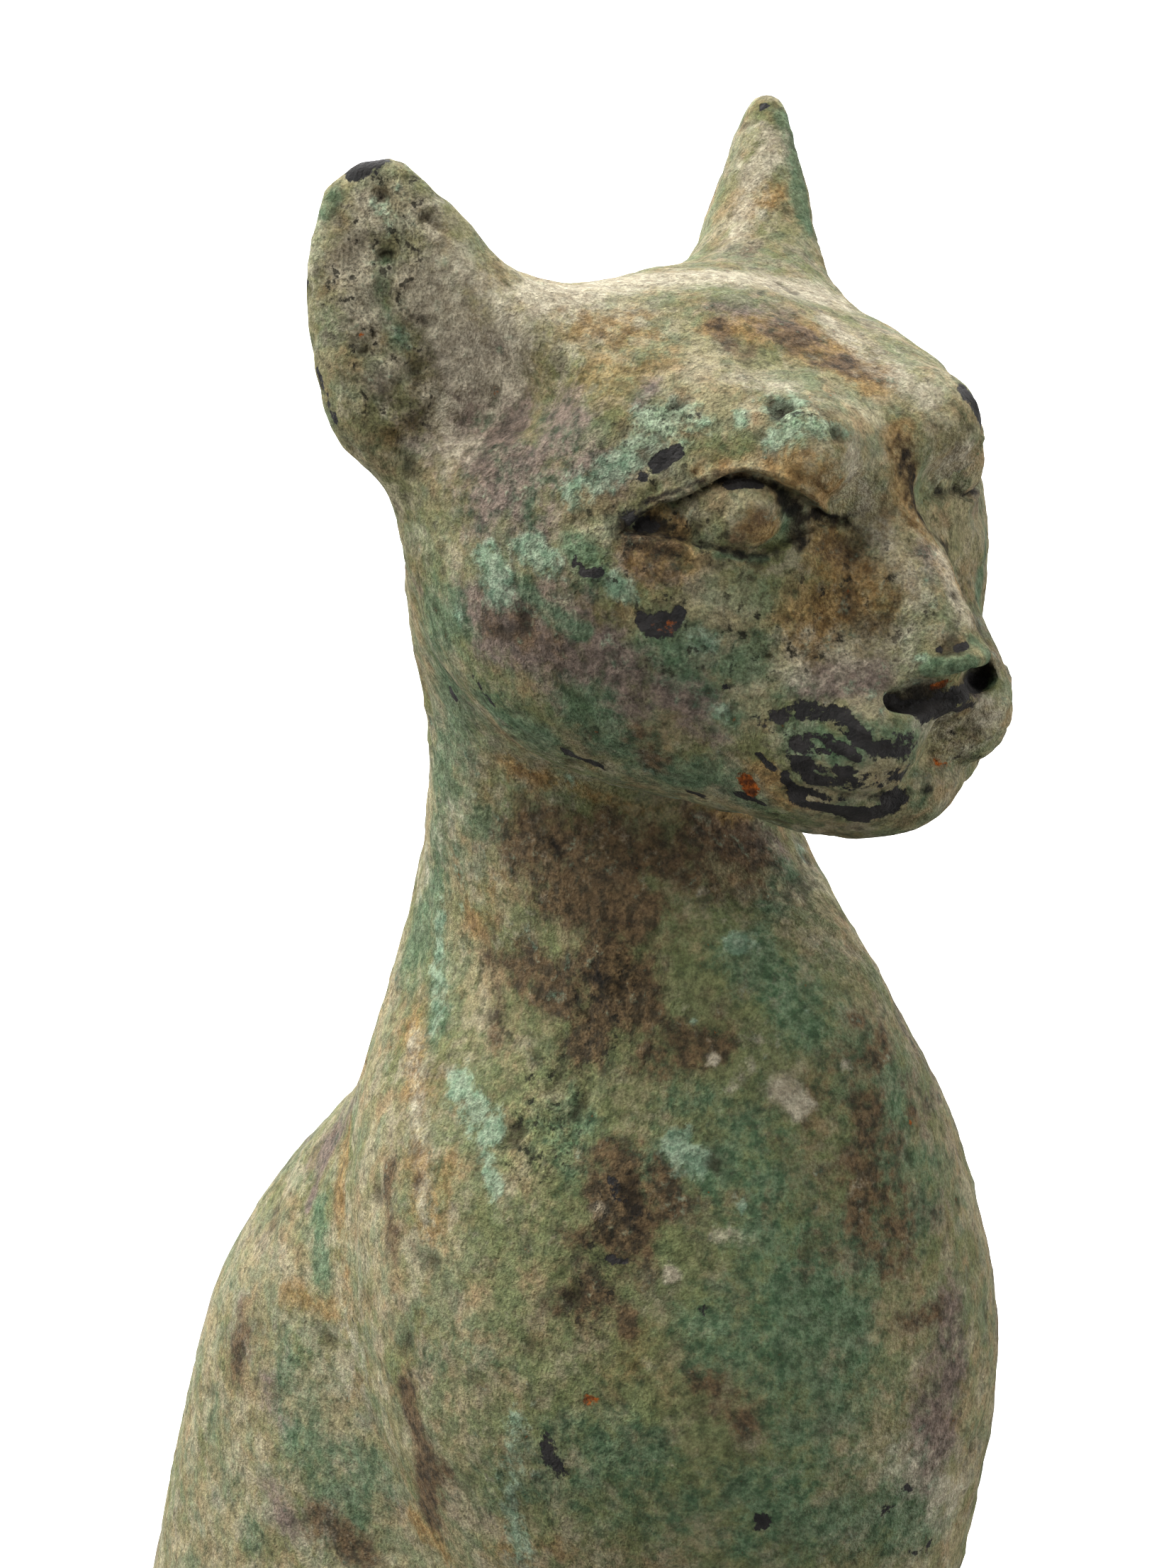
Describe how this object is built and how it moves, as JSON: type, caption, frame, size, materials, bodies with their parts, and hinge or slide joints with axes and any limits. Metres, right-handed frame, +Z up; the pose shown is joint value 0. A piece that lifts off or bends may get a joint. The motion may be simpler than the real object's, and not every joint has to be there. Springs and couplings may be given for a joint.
{
  "type": "seated bronze cat figure",
  "caption": "Upright seated cat of cast bronze on a thin rectangular base, ears pricked, tail curled along its right side, worn green and brown patina.",
  "frame": {"origin": "middle of the underside of the base, under the centre of the bounding box", "axes": "+Z up to the ear tips; the cat looks along -Y; its right side is towards -X"},
  "size_m": [0.1028, 0.17, 0.2942],
  "materials": {
    "bronze": "matte, corroded: olive and brown patina with malachite green patches"
  },
  "bodies": {
    "root": {"cat_figure": "bronze"}
  },
  "joints": []
}
